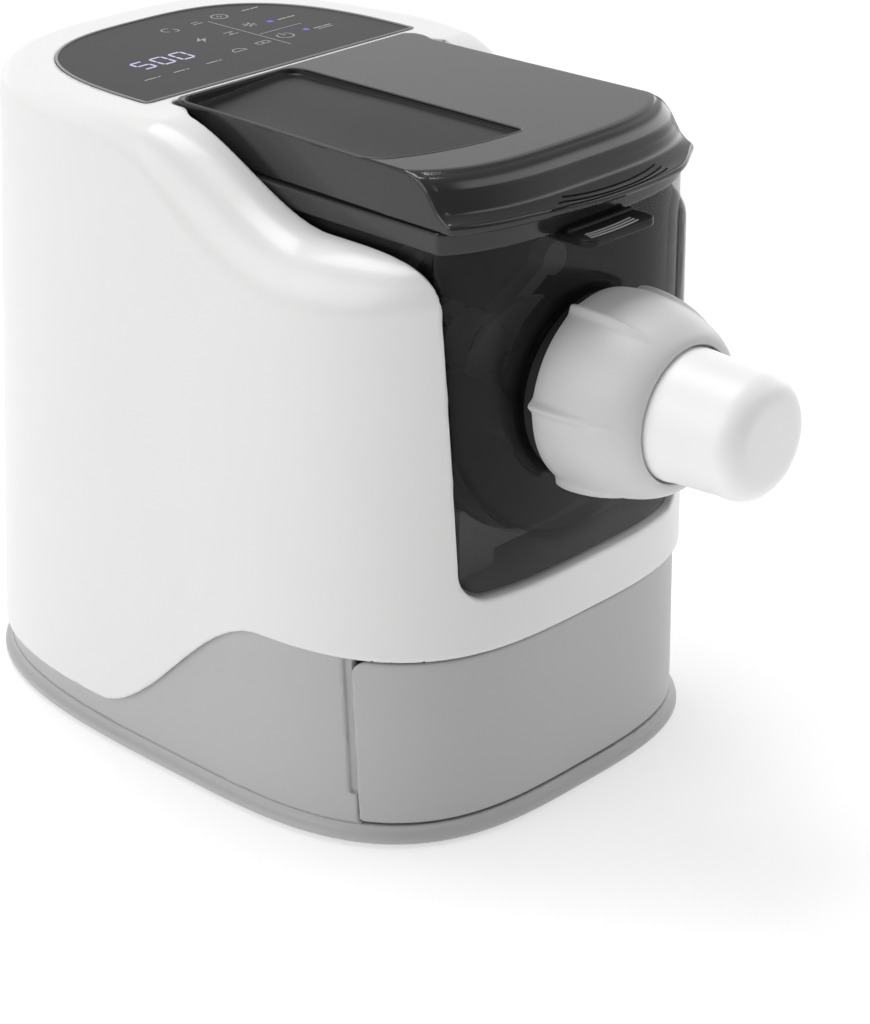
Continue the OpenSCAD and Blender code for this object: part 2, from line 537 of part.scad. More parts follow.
// ---------- die, hood and nut ----------
module die_disc() color([0.8, 0.62, 0.3]) placed() difference() {
  bar(0, -185.4, shaft_z, 4.3, 29.15);
  for (a = [0:30:330]) bar(17.5 * cos(a), -190, shaft_z + 17.5 * sin(a), 20, 1.9);
  for (a = [30:60:330]) bar(9 * cos(a), -190, shaft_z + 9 * sin(a), 20, 1.9);
}
module outlet_hood() color([0.96, 0.96, 0.96]) placed() difference() {
  union() {
    translate([0, -hood_front, shaft_z]) rotate([-90, 0, 0]) rotate_extrude() polygon(concat(
      [[0, 0], [17, 0]], [for (a = [15:15:90]) [17 + 7.4 * sin(a), 7.4 * (1 - cos(a))]],
      [[hood_r, 40.1], [hood_r, 43.7], [29.15, 43.7], [29.15, 49.9], [0, 49.9]]));
  }
  translate([0, -hood_front + 3, shaft_z]) rotate([-90, 0, 0]) rotate_extrude() polygon(concat(
      [[0, 0], [15, 0]], [for (a = [30:30:90]) [15 + 6.6 * sin(a), 6.6 * (1 - cos(a))]],
      [[hood_r - 2.6, 37], [hood_r - 2.6, 60], [0, 60]]));
  translate([-15, -226, shaft_z - 40]) cube([30, 28.5, 30]);
}
module locking_nut() color([0.82, 0.82, 0.82]) placed() difference() {
  union() {
    translate([0, -196, shaft_z]) rotate([-90, 0, 0]) rotate_extrude() polygon(
      [[27.4, 0], [29.2, 0.2], [31.4, 2], [33, 4.6], [34.8, 8.4], [36.6, 13], [38, 19], [38.9, 26], [39.3, 33], [39.2, 39], [38.8, 43.8], [27.4, 43.8]]);
    for (a = [55:60:355]) translate([0, 0, shaft_z]) rotate([0, -a, 0]) hull() {
      translate([38.6, -152.4, 0]) rotate([90, 0, 0]) cylinder(h = 4, r = 2.6, $fn = 24);
      translate([36.6, -179, 0]) rotate([90, 0, 0]) cylinder(h = 3, r = 1.6, $fn = 24);
    }
  }
  bar(0, -188, shaft_z, 60, barrel_r + 0.02);
  bar(0, -191.9, shaft_z, 10, 29.7);
  bar(0, -200, shaft_z, 60, 27.4);
  bar(0, -155.4, shaft_z, 20, 33.2);
}

// ---------- lid ----------
module lid_plan(z0, z1, o, hx, y1) intersection() {
  env(o, z0 - 5, z1 + 5);
  translate([-hx, -190, z0]) cube([2 * hx, 190 + y1, z1 - z0]);
}
module lid() color([0.25, 0.25, 0.26]) placed() difference() {
  union() {
    difference() {
      union() {
        lid_plan(rim_z + 0.25, lid_top, -3.5, lid_half_w, hinge_y);
        lid_plan(rim_z + 0.9, rim_z + 4, 5.5, lid_half_w, -60);
        // rolled rear edge, and the flat lip behind it, with round corners
        intersection() {
          translate([0, 0, 240]) linear_extrude(lid_top - 240) polygon(concat([[-70, -9], [-70, 4]],
            [for (a = [165:-15:90]) [-60.4 + 7 * cos(a), lid_rear - 7 + 7 * sin(a)]],
            [for (a = [90:-15:15]) [60.4 + 7 * cos(a), lid_rear - 7 + 7 * sin(a)]], [[70, 4], [70, -9]]));
          union() {
            translate([-lid_half_w, hinge_y, hinge_z]) rotate([0, 90, 0]) cylinder(h = 2 * lid_half_w, r = lid_roll_r);
            intersection() {
              translate([-lid_half_w, hinge_y, hinge_z]) rotate([0, 90, 0]) cylinder(h = 2 * lid_half_w, r = lid_swing_r, $fn = 72);
              translate([-80, -4, hinge_z]) cube([160, 30, 20]);
            }
          }
        }
      }
      lid_plan(rim_z - 5, lid_top - 2.6, -6, lid_half_w - 2.6, hinge_y - 12);
    }
    // floor and walls under the tray
    translate([-67.4, -115.4, lid_top - 6.7]) cube([65.5, 111, 6]);
  }
  // water tray; its front edge follows the lid's front
  translate([0, 0, lid_top - 4.5]) linear_extrude(10) polygon([[-4.2, 2], [-6.4, 6.8], [-10.5, 8.6], [-60, 8.6], [-64.2, 6.8], [-66.2, 2.6], [-66.2, -99], [-64.4, -102.6],
    [-58, -106.4], [-52, -107.8], [-36, -110.9], [-20, -112.7], [-4.2, -113.4]]);
  // room for the ears beside the rear ends
  for (s = [0, 1]) mirror([s, 0, 0]) translate([67.4, hinge_y - 9, 240]) cube([6, 24, 40]);
  for (s = [-1, 1]) translate([s * 65 - 6, hinge_y, hinge_z]) rotate([0, 90, 0]) cylinder(h = 12, r = 2.0);
  translate([-5.1, -8.3, rim_z]) cube([10.2, 10.2, 4.6]);
  // pouring slots in the tray floor
  for (i = [0:3]) translate([-65.2, -36 - 9 * i, 240]) cube([2.8, 6, 40]);
}
module lid_gasket() color([0.5, 0.5, 0.5]) placed() difference() {
  lid_plan(rim_z + 0.3, rim_z + 3, -6.1, lid_half_w - 2.7, -10);
  lid_plan(rim_z - 3, rim_z + 13, -8.6, lid_half_w - 5.2, -12.5);
}
module hinge_pins() color("silver") placed()
  for (s = [-1, 1]) translate([s * 65.3 - 5, hinge_y, hinge_z]) rotate([0, 90, 0]) cylinder(h = 10, r = 1.99);
module lid_magnet() color([0.5, 0.5, 0.52]) placed() translate([-5, -8.2, rim_z + 0.4]) cube([10, 10, 4]);

base_plate();
rubber_feet();
base_screws();
base_shell();
drawer_rails();
upper_shell();
bowl_cradle();
rear_grille();
power_inlet();
inlet_pins();
control_panel();
display_module();
touch_springs();
control_board();
power_board();
reed_switch();
motor_can();
motor_stator();
motor_bearings();
motor_screws();
gearbox_case();
gearbox_cover();
gearbox_bearings();
gearbox_screws();
motor_lead();
motor_shaft();
motor_rotor();
cooling_fan();
motor_pinion();
first_gear();
first_layshaft();
second_gear();
second_layshaft();
output_gear();
output_shaft();
drawer_front();
drawer_tray();
drawer_screws();
mixing_bowl();
extruder_barrel();
barrel_gasket();
shaft_seal();
mixing_shaft();
mixing_paddles();
auger_screw();
drive_socket();
die_disc();
outlet_hood();
locking_nut();
lid();
lid_gasket();
hinge_pins();
lid_magnet();
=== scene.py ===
import json
import math
import bpy
import numpy as np
from mathutils import Matrix


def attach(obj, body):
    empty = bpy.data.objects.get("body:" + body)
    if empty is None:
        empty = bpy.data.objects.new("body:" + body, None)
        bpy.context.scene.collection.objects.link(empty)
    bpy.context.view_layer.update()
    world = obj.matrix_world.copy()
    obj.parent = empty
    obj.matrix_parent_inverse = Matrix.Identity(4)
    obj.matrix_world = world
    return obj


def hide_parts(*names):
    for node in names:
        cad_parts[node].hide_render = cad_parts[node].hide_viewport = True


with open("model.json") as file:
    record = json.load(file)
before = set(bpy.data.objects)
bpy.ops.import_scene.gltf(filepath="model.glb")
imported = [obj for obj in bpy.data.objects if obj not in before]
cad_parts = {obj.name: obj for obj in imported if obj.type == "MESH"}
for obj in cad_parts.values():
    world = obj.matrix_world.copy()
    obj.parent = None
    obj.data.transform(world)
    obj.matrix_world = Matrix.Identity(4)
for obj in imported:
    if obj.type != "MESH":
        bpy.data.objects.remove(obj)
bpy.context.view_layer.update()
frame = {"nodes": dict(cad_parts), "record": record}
YS = 42.52          # the housing's middle stands this far behind the row frame's origin, mm
SZ = 179.9          # height of the shaft, nut and hood axis

# ------------------------------------------------------------------ distance functions, millimetres


def isect(a, b, r):
    "a and b, with a round edge of radius r where they meet"
    return np.minimum(np.maximum(a, b), -r) + np.hypot(np.maximum(a + r, 0), np.maximum(b + r, 0))


def join(a, b, r):
    "a or b, with a hollow fillet of radius r where they meet"
    return np.maximum(np.minimum(a, b), r) - np.hypot(np.maximum(r - a, 0), np.maximum(r - b, 0))


def smooth(t):
    t = np.clip(t, 0, 1)
    return t * t * (3 - 2 * t)


def oval(u, v, a, b, n):
    "distance to a squared-off oval of half sizes a and b"
    u = np.abs(u) / a
    v = np.abs(v) / b
    r = np.maximum(np.power(u, n) + np.power(v, n), 1e-9) ** (1 / n)
    g = r ** (1 - n) * np.hypot(np.power(u, n - 1) / a, np.power(v, n - 1) / b)
    return (r - 1) / np.maximum(g, 1e-5)


def wall(x, y, z):
    "distance outside the grey wall's outline, which leans in towards the top"
    a = 107.5 - 0.0371 * z
    yf = -147.3 - 0.0022 * z + 120.5
    yr = 147.3 - 0.05 * z - 162.3
    front = y < yf
    v = np.where(front, yf - y, np.maximum(y - yr, 0))
    return oval(x, v, a, np.where(front, 120.5, 162.3), np.where(front, 3.23, 3.03))


def box(x, y, z, c, h, r=0.0):
    q = [np.abs(x - c[0]) - h[0] + r, np.abs(y - c[1]) - h[1] + r, np.abs(z - c[2]) - h[2] + r]
    out = np.sqrt(sum(np.maximum(k, 0) ** 2 for k in q))
    return out + np.minimum(np.maximum(np.maximum(q[0], q[1]), q[2]), 0) - r


def rect(u, v, c, h, r=0.0):
    a, b = np.abs(u - c[0]) - h[0] + r, np.abs(v - c[1]) - h[1] + r
    return np.hypot(np.maximum(a, 0), np.maximum(b, 0)) + np.minimum(np.maximum(a, b), 0) - r


def tube(x, z, r, cx=0.0, cz=SZ):
    return np.hypot(x - cx, z - cz) - r


# ------------------------------------------------------------------ mesher

B = 12


def sample(f, lo, hi, h):
    n = [int(math.ceil((hi[i] - lo[i]) / h / B)) for i in range(3)]
    ax = [lo[i] + h * B * (np.arange(n[i]) + 0.5) for i in range(3)]
    c = f(*np.meshgrid(*ax, indexing="ij"))
    F = np.full([k * B + 1 for k in n], 1e3, np.float32)
    s = np.where(c > 0, 1e3, -1e3).astype(np.float32)
    F[:-1, :-1, :-1] = s.repeat(B, 0).repeat(B, 1).repeat(B, 2)
    near = np.argwhere(np.abs(c) < h * B * 0.87 * 1.7)
    t = np.arange(B + 1)
    for k in range(0, len(near), 160):
        part = near[k:k + 160]
        g = [lo[i] + h * (part[:, i, None] * B + t) for i in range(3)]
        v = f(g[0][:, :, None, None] + 0 * g[1][:, None, :, None] + 0 * g[2][:, None, None, :],
              g[1][:, None, :, None] + 0 * g[0][:, :, None, None] + 0 * g[2][:, None, None, :],
              g[2][:, None, None, :] + 0 * g[0][:, :, None, None] + 0 * g[1][:, None, :, None])
        for (i, j, m), w in zip(part * B, v):
            F[i:i + B + 1, j:j + B + 1, m:m + B + 1] = w
    return F


CORNERS = [(0, 0, 0), (1, 0, 0), (0, 1, 0), (1, 1, 0), (0, 0, 1), (1, 0, 1), (0, 1, 1), (1, 1, 1)]


def contour(f, F, lo, h):
    "quads whose points sit where the crossing planes of each cell meet, so that edges stay crisp"
    ins = F < 0
    n = F.shape
    cnt = np.zeros([k - 1 for k in n], np.int8)
    for c in CORNERS:
        cnt += ins[c[0]:n[0] - 1 + c[0], c[1]:n[1] - 1 + c[1], c[2]:n[2] - 1 + c[2]]
    act = (cnt > 0) & (cnt < 8)
    cells = np.argwhere(act)
    idx = np.full(act.shape, -1, np.int32)
    idx[act] = np.arange(len(cells))
    m = len(cells)
    quads, pts, own = [], [], []
    lo = np.array(lo, float)
    for d in range(3):
        u, v = (d + 1) % 3, (d + 2) % 3
        s0, s1 = [slice(None)] * 3, [slice(None)] * 3
        s0[d], s1[d] = slice(0, -1), slice(1, None)
        e = np.argwhere(ins[tuple(s0)] != ins[tuple(s1)])
        e = e[(e[:, u] > 0) & (e[:, v] > 0) & (e[:, u] < n[u] - 1) & (e[:, v] < n[v] - 1)]
        D, U, V = np.eye(3, dtype=int)[[d, u, v]]
        fa, fb = F[tuple(e.T)].astype(float), F[tuple((e + D).T)].astype(float)
        t = fa / (fa - fb)
        p = lo + h * (e + t[:, None] * D)
        ft = f(*p.T)                                   # one more secant step
        same = (ft < 0) == (fa < 0)
        t0, f0 = np.where(same, t, 0), np.where(same, ft, fa)
        t1, f1 = np.where(same, 1, t), np.where(same, fb, ft)
        t = t0 + (t1 - t0) * f0 / np.where(np.abs(f0 - f1) < 1e-9, 1e-9, f0 - f1)
        p = lo + h * (e + np.clip(t, 0, 1)[:, None] * D)
        q = np.stack([idx[tuple((e - U - V).T)], idx[tuple((e - V).T)], idx[tuple(e.T)], idx[tuple((e - U).T)]], 1)
        pts.append(p)
        own.append(q.copy())
        low = fa < 0
        q[~low] = q[~low][:, ::-1]
        quads.append(q)
    p = np.concatenate(pts)
    own = np.concatenate(own)
    g = grad(f, p, 0.08)
    g /= np.maximum(np.sqrt((g * g).sum(1)), 1e-9)[:, None]
    gp = (g * p).sum(1)

    def total(w):
        return sum(np.bincount(own[:, k], w, m) for k in range(4))
    c = total(np.ones(len(p)))
    mass = np.stack([total(p[:, k]) for k in range(3)], 1) / c[:, None]
    A = np.empty((m, 3, 3))
    for i in range(3):
        for k in range(i, 3):
            A[:, i, k] = A[:, k, i] = total(g[:, i] * g[:, k]) / c
    b = np.stack([total(g[:, k] * gp) for k in range(3)], 1) / c[:, None] - np.einsum("nij,nj->ni", A, mass)
    P = mass + np.linalg.solve(A + 0.04 * np.eye(3), b[:, :, None])[:, :, 0]
    base = lo + h * cells
    return np.clip(P, base - 0.1 * h, base + 1.1 * h), np.concatenate(quads)


def grad(f, p, e):
    x, y, z = p.T
    return np.stack([f(x + e, y, z) - f(x - e, y, z), f(x, y + e, z) - f(x, y - e, z), f(x, y, z + e) - f(x, y, z - e)], 1) / (2 * e)


def settle(f, p, most, times=2):
    for _ in range(times):
        v = f(*p.T)
        g = grad(f, p, 0.15)
        step = g * (v / np.maximum((g * g).sum(1), 0.25))[:, None]
        far = np.sqrt((step * step).sum(1))
        p = p - step * np.minimum(1, most / np.maximum(far, 1e-9))[:, None]
    return p


def raw_mesh(name, P, faces, size):
    me = bpy.data.meshes.new(name)
    me.vertices.add(len(P))
    me.vertices.foreach_set("co", np.ascontiguousarray(P, np.float32).ravel())
    me.loops.add(faces.size)
    me.loops.foreach_set("vertex_index", np.ascontiguousarray(faces, np.int32).ravel())
    me.polygons.add(len(faces))
    me.polygons.foreach_set("loop_start", np.arange(0, faces.size, size, dtype=np.int32))
    me.update(calc_edges=True)
    return me


def place(P):
    return (P + np.array([0, YS, 0])) / 1000


def add(name, me, mat, body, nodes=()):
    o = bpy.data.objects.new(name, me)
    bpy.context.scene.collection.objects.link(o)
    me.materials.append(mat)
    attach(o, body)
    if nodes:
        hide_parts(*nodes)
    return o


def solid(name, f, lo, hi, h, tris, mat, body, nodes=(), eps=0.22, face=None):
    "a piece from its distance function, thinned to about tris triangles, shaded by the function's own normals"
    P, F = contour(f, sample(f, lo, hi, h), lo, h)
    me = raw_mesh(name, P, F, 4)
    if 2 * len(F) > tris:
        tmp = bpy.data.objects.new("tmp", me)
        bpy.context.scene.collection.objects.link(tmp)
        m = tmp.modifiers.new("thin", "DECIMATE")
        m.ratio = tris / (2 * len(F))
        new = bpy.data.meshes.new_from_object(tmp.evaluated_get(bpy.context.evaluated_depsgraph_get()))
        bpy.data.objects.remove(tmp)
        bpy.data.meshes.remove(me)
        me = new
        me.name = name
        P = np.empty(3 * len(me.vertices), np.float32)
        me.vertices.foreach_get("co", P)
        P = settle(f, P.reshape(-1, 3).astype(float), 0.15 * h)
    N = grad(face or f, P, eps)
    N /= np.maximum(np.sqrt((N * N).sum(1)), 1e-9)[:, None]
    me.vertices.foreach_set("co", place(P).astype(np.float32).ravel())
    me.update()
    me.polygons.foreach_set("use_smooth", np.ones(len(me.polygons), bool))
    me.normals_split_custom_set_from_vertices(N)
    return add(name, me, mat, body, nodes)


# ------------------------------------------------------------------ materials


def material(name, base, rough, tint=0.03, grain=900.0, bump=0.06, bump_size=0.00012, spot=0.04, metal=0.0, spec=0.5, coat=0.0,
             alpha=1.0, emission=None, strength=0.0, transmission=0.0):
    m = bpy.data.materials.new(name)
    m.use_nodes = True
    nt = m.node_tree
    p = nt.nodes["Principled BSDF"]
    tc = nt.nodes.new("ShaderNodeTexCoord")
    broad = nt.nodes.new("ShaderNodeTexNoise")
    broad.inputs["Scale"].default_value = 14.0
    broad.inputs["Detail"].default_value = 3.0
    fine = nt.nodes.new("ShaderNodeTexNoise")
    fine.inputs["Scale"].default_value = grain
    fine.inputs["Detail"].default_value = 2.0
    nt.links.new(tc.outputs["Object"], broad.inputs["Vector"])
    nt.links.new(tc.outputs["Object"], fine.inputs["Vector"])
    ramp = nt.nodes.new("ShaderNodeValToRGB")
    b = np.array(base)
    ramp.color_ramp.elements[0].position = 0.3
    ramp.color_ramp.elements[1].position = 0.7
    ramp.color_ramp.elements[0].color = (*np.clip(b * (1 - tint), 0, 1), 1)
    ramp.color_ramp.elements[1].color = (*np.clip(b * (1 + tint), 0, 1), 1)
    nt.links.new(broad.outputs["Fac"], ramp.inputs["Fac"])
    nt.links.new(ramp.outputs["Color"], p.inputs["Base Color"])
    mr = nt.nodes.new("ShaderNodeMapRange")
    mr.inputs["To Min"].default_value = max(rough - spot, 0.02)
    mr.inputs["To Max"].default_value = min(rough + spot, 1.0)
    nt.links.new(fine.outputs["Fac"], mr.inputs["Value"])
    nt.links.new(mr.outputs["Result"], p.inputs["Roughness"])
    bp = nt.nodes.new("ShaderNodeBump")
    bp.inputs["Strength"].default_value = bump
    bp.inputs["Distance"].default_value = bump_size
    nt.links.new(fine.outputs["Fac"], bp.inputs["Height"])
    nt.links.new(bp.outputs["Normal"], p.inputs["Normal"])
    p.inputs["Metallic"].default_value = metal
    p.inputs["Specular IOR Level"].default_value = spec
    p.inputs["Coat Weight"].default_value = coat
    p.inputs["Alpha"].default_value = alpha
    p.inputs["Transmission Weight"].default_value = transmission
    if emission:
        p.inputs["Emission Color"].default_value = (*emission, 1)
        p.inputs["Emission Strength"].default_value = strength
    return m


M = {
    "white_gloss": material("white_gloss", (0.785, 0.785, 0.781), 0.32, 0.008, 1500, 0.03, coat=0.15),
    "white_satin": material("white_satin", (0.935, 0.935, 0.93), 0.4, 0.008, 1200, 0.04),
    "grey_matte": material("grey_matte", (0.455, 0.455, 0.46), 0.42, 0.012, 1400, 0.07),
    "tray_grey": material("tray_grey", (0.49, 0.49, 0.495), 0.45, 0.02, 1200, 0.07),
    "black_plastic": material("black_plastic", (0.022, 0.022, 0.023), 0.5, 0.12, 1100, 0.1),
    "black_rubber": material("black_rubber", (0.018, 0.018, 0.018), 0.75, 0.15, 700, 0.2),
    "grey_silicone": material("grey_silicone", (0.3, 0.3, 0.31), 0.5, 0.04, 900, 0.08),
    "smoked_clear": material("smoked_clear", (0.012, 0.012, 0.013), 0.07, 0.1, 500, 0.008, spot=0.02, spec=0.32, alpha=0.46),
    "smoked_lid": material("smoked_lid", (0.026, 0.026, 0.027), 0.14, 0.06, 700, 0.012, spot=0.02, alpha=0.96),
    "smoked_tray": material("smoked_tray", (0.016, 0.016, 0.017), 0.3, 0.06, 700, 0.02, spot=0.03, spec=0.15, alpha=0.96),
    # lighter grey than the lid: a painted highlight on the edge bead round the water tray
    "bead_painted_highlight": material("bead_painted_highlight", (0.085, 0.085, 0.087), 0.3, 0.05, 900, 0.03, spec=0.4),
    # near-black and barely glossy: painted shade that makes raised beads read as dark grooves
    "groove": material("groove", (0.006, 0.006, 0.006), 0.6, 0.1, 900, 0.03, spec=0.1),
    "light_grey": material("light_grey", (0.64, 0.64, 0.64), 0.42, 0.012, 1200, 0.05),
    "panel_dark": material("panel_dark", (0.032, 0.032, 0.034), 0.3, 0.03, 1600, 0.03, spec=0.075),
    "panel_rim": material("panel_rim", (0.26, 0.26, 0.265), 0.35, 0.03, 1600, 0.03),
    "display_black": material("display_black", (0.01, 0.01, 0.012), 0.15, 0.1, 600, 0.01),
    "circuit_board": material("circuit_board", (0.03, 0.15, 0.06), 0.4, 0.25, 260, 0.15),
    "steel": material("steel", (0.58, 0.58, 0.59), 0.28, 0.05, 700, 0.08, metal=1.0),
    "cast_alloy": material("cast_alloy", (0.52, 0.53, 0.54), 0.5, 0.08, 420, 0.25, metal=0.9),
    "copper_winding": material("copper_winding", (0.55, 0.22, 0.07), 0.35, 0.2, 900, 0.3, metal=0.8),
    "bronze": material("bronze", (0.55, 0.4, 0.2), 0.38, 0.1, 500, 0.1, metal=1.0),
    "gear_nylon": material("gear_nylon", (0.72, 0.69, 0.6), 0.45, 0.04, 900, 0.08),
    "lead_red": material("lead_red", (0.45, 0.03, 0.02), 0.5, 0.08, 900, 0.06),
    "mark": material("mark", (0.27, 0.27, 0.275), 0.4, 0.05, 900, 0.03),
    "digit": material("digit", (0.4, 0.38, 0.52), 0.4, 0.05, 900, 0.02, emission=(0.62, 0.6, 1.0), strength=0.22),
    "led": material("led", (0.08, 0.07, 0.4), 0.4, 0.05, 900, 0.02, emission=(0.2, 0.17, 1.0), strength=0.22),
}

for sub in frame["record"]["subparts"]:
    ob = frame["nodes"][sub["node"]]
    s = "smoked_lid" if sub["node"] == "lid" else sub["material_slot"]
    for k in range(max(1, len(ob.material_slots))):
        if not ob.material_slots:
            ob.data.materials.append(M[s])
        ob.material_slots[k].material = M[s]

# ------------------------------------------------------------------ white shell


def top_line(y):
    return np.minimum(242.2 + 31.3 * smooth((y + 80) / 84), 273.0)


def wave(y):
    return 82.2 + (19.4 - 82.2) * smooth((y + 70) / 98) - 0.03 * np.maximum(y - 28, 0)


def bay_x(z):
    return 71.6 - 0.0445 * (248 - z)


def bay(x, y, z):
    "the bowl's bay, with the recess that the lid's rear lip swings into, and the lips over the hinge ears"
    b = isect(np.abs(x) - bay_x(z), 105 - z, 12)
    rear = np.minimum(y - 11, np.hypot(y - 2.5, z - 266.5) - 12.7)
    low = isect(b, rear, 2)
    lips = isect(np.abs(x) - 68.2 - 4.6 * smooth((4.5 - y) / 10.5), y - 14.2, 5.2)
    return np.maximum(low, np.minimum(lips, z - 271.3 + 14 * smooth((y - 7.4) / 2)))


def panel_edge(x, y):
    return isect(oval(x, np.maximum(y - 17.2, 0), 75.8, 94.8, 2.9), 17.2 - y, 3.0)


def slope_of(y, y0, length, rise):
    t = np.clip((y - y0) / length, 0, 1)
    return rise / length * 6 * t * (1 - t)


def upper_shell(x, y, z):
    w = wall(x, y, z)
    k = np.sqrt(1 + slope_of(y, -80, 84, 31.3) ** 2)
    top = (z - top_line(y)) / k
    R = 8.5 + 14.5 * (0.5 + 0.5 * smooth((y + 146) / 44)) * smooth((34 - y) / 70) + 2.0 * smooth((y - 10) / 40)
    body = isect(w - 2.6, top, R)
    f = isect(body, -bay(x, y, z), 1.4 - 0.6 * smooth((y + 8) / 10))
    f = np.maximum(f, -(f + 2.4 + 0.9 * smooth((z - 98) / 15)))
    cut = (wave(y) - z) / np.sqrt(1 + slope_of(y, -70, 98, 62.8) ** 2)
    f = isect(f, cut, 0.8)
    f = np.maximum(f, -np.maximum(panel_edge(x, y) - 0.35, 271.6 - z))
    f = np.maximum(f, -np.maximum(tube(x, z, 16), np.abs(y - 15) - 12))
    f = np.maximum(f, -box(x, y, z, (0, 150, 95), (43, 30, 35), 3))
    return np.maximum(f, -box(x, y, z, (0, 150, 33), (17.6, 30, 13), 2))


solid("white_upper_shell", upper_shell, (-114, -156, 10), (114, 156, 278), 1.5, 190000, M["white_gloss"], "housing", ["upper_shell"])

# ------------------------------------------------------------------ grey base and drawer front


def lean(y, z):
    "distance behind the drawer's end seam, which leans back towards the top"
    return y - 0.057 * (z - 44)


def base_shell(x, y, z):
    w = wall(x, y, z)
    s = lean(y, z)
    f = isect(isect(w, 8.65 - z, 0.12), z - 94, 1)
    f = np.maximum(f, -(w + 5.5))
    door = isect(isect(s + 110.55, z - 81.4, 2.0), 9.2 - z, 1)
    f = isect(f, -door, 0.45)
    groove = isect(rect(s, z, (-109.5, 57.5), (1.5, 35.5), 0.6), -(w + 1.7), 0.5)
    f = isect(f, -groove, 0.35)
    return np.maximum(f, -box(x, y, z, (0, 150, 54), (37, 30, 36), 3))


solid("grey_base_wall", base_shell, (-112, -152, 4), (112, 152, 98), 1.3, 150000, M["grey_matte"], "housing", ["base_shell"])


def drawer_front(x, y, z):
    w = wall(x, y, z)
    e = isect(isect(lean(y, z) + 111.1, z - 80.4, 6.4), 9.7 - z, 2.2)
    return np.maximum(isect(w, e, 0.9), -(w + 2.6))


solid("grey_drawer_front", drawer_front, (-112, -152, 4), (112, -106, 86), 1.0, 90000, M["grey_matte"], "drawer", ["drawer_front"])


def foot_tray(x, y, z):
    w = wall(x, y, z)
    f = isect(isect(w - 3.2, 1.8 - z, 1.0), z - 4.8, 1.3)
    f = join(f, isect(w - 0.25, z - 8.6, 0.2), 2.8)
    f = np.maximum(f, 1.8 - z)
    f = np.maximum(f, -np.maximum(w + 3.4, 4.6 - z))
    for sx in (-72, 72):
        for fy in (-96, 100):
            f = np.maximum(f, -np.maximum(tube(x, y, 9.4, sx, fy), z - 3))
    for sx, fy in ((99, -70), (-99, -70), (100, 40), (-100, 40), (58, 129), (-58, 129)):
        f = np.maximum(f, -np.maximum(tube(x, y, 4, sx, fy), z - 2.9))
    for i in range(-4, 5):
        f = np.maximum(f, -rect(x, y, (9 * i, 106), (2, 22), 1.9))
    return f


solid("grey_foot_tray", foot_tray, (-115, -156, -2), (115, 156, 12), 1.1, 150000, M["grey_matte"], "housing", ["base_plate"])

# ------------------------------------------------------------------ bowl


def trough(x, z, r):
    up = 2 * np.clip((z - SZ) / (232 - SZ), 0, 1) + 2 * smooth((z - 232) / 11)
    return np.where(z < SZ, np.hypot(x, z - SZ) - r, np.abs(x) - r - up)


def bowl(x, y, z):
    w = wall(x, y, z)
    t = trough(x, z, 65.5)
    back = isect(isect(w, t, 2.0), y - 3, 2)
    face = isect(isect(isect(np.abs(x) - bay_x(z) + 1.3, 106.4 - z, 10.5), w, 1.6), y + 121, 0.4)
    f = isect(np.minimum(back, face), z - 254.5, 0.8)
    inner = isect(isect(trough(x, z, 62.8), w + 2.8, 4), y, 4)
    wing = np.maximum(np.maximum(w + 2.8, -t), z - 245.6)
    f = np.maximum(np.maximum(f, -inner), -wing)
    for s in (-69, 69):
        post = np.minimum(rect(y, z, (0.5, 254), (2.4, 12)), np.hypot(y - 2.5, z - 266.5) - 4.4)
        f = np.minimum(f, isect(post, np.abs(x - s) - 1.35, 0.5))
        f = np.maximum(f, -np.maximum(np.hypot(y - 2.5, z - 266.5) - 2.05, np.abs(x - s) - 3))
    f = np.maximum(f, z - 272.5)
    f = np.maximum(f, -np.maximum(tube(x, z, 32), y + 132))
    return np.maximum(f, -np.maximum(tube(x, z, 13), -20 - y))


solid("smoked_bowl", bowl, (-73, -164, 104), (73, 12, 275), 1.15, 170000, M["smoked_clear"], "bowl", ["mixing_bowl"])



def rim(x, y, z):
    "flange around the bowl's top"
    w = wall(x, y, z)
    f = isect(np.abs(x) - bay_x(z) + 0.9, np.abs(z - 250.3) - 4.3, 0.7)
    f = isect(f, isect(w - 0.7, y - 2.5, 2), 0.7)
    return np.maximum(f, -isect(isect(np.abs(x) - 66.9, w + 2.7, 4), y, 4))


solid("smoked_bowl_rim", rim, (-73, -152, 244), (73, 5, 256), 0.8, 36000, M["smoked_lid"], "bowl")


def tab(x, y, z):
    "thumb tab on the bowl's front, with a low rib across its root"
    w = wall(x, y, z)
    f = isect(rect(x, y, (-1.5, -151.3), (20, 13), 5), np.abs(z - 244.7) - 1.5, 0.7)
    rib = isect(np.abs(w - 3.2) - 1.2, np.abs(x + 1) - 19, 0.8)
    f = np.minimum(f, isect(rib, np.abs(z - 246.2) - 1.1, 0.8))
    return np.maximum(f, -(w + 0.4))


solid("smoked_thumb_tab", tab, (-24, -167, 241), (22, -142, 249), 0.5, 24000, M["smoked_tray"], "bowl")

# ------------------------------------------------------------------ lid

LW = np.array([-60, -14.0, -9.0, -5.0, -2.5, 0.0, 3.0, 5.6, 9.0])
LZ = np.array([274.5, 274.5, 273.2, 269.6, 265.3, 261.4, 259.0, 257.9, 257.2])
d_ = np.diff(LZ) / np.diff(LW)
LM = np.concatenate([[0], [0 if a * b <= 0 else 2 * a * b / (a + b) for a, b in zip(d_[:-1], d_[1:])], [d_[-1]]])


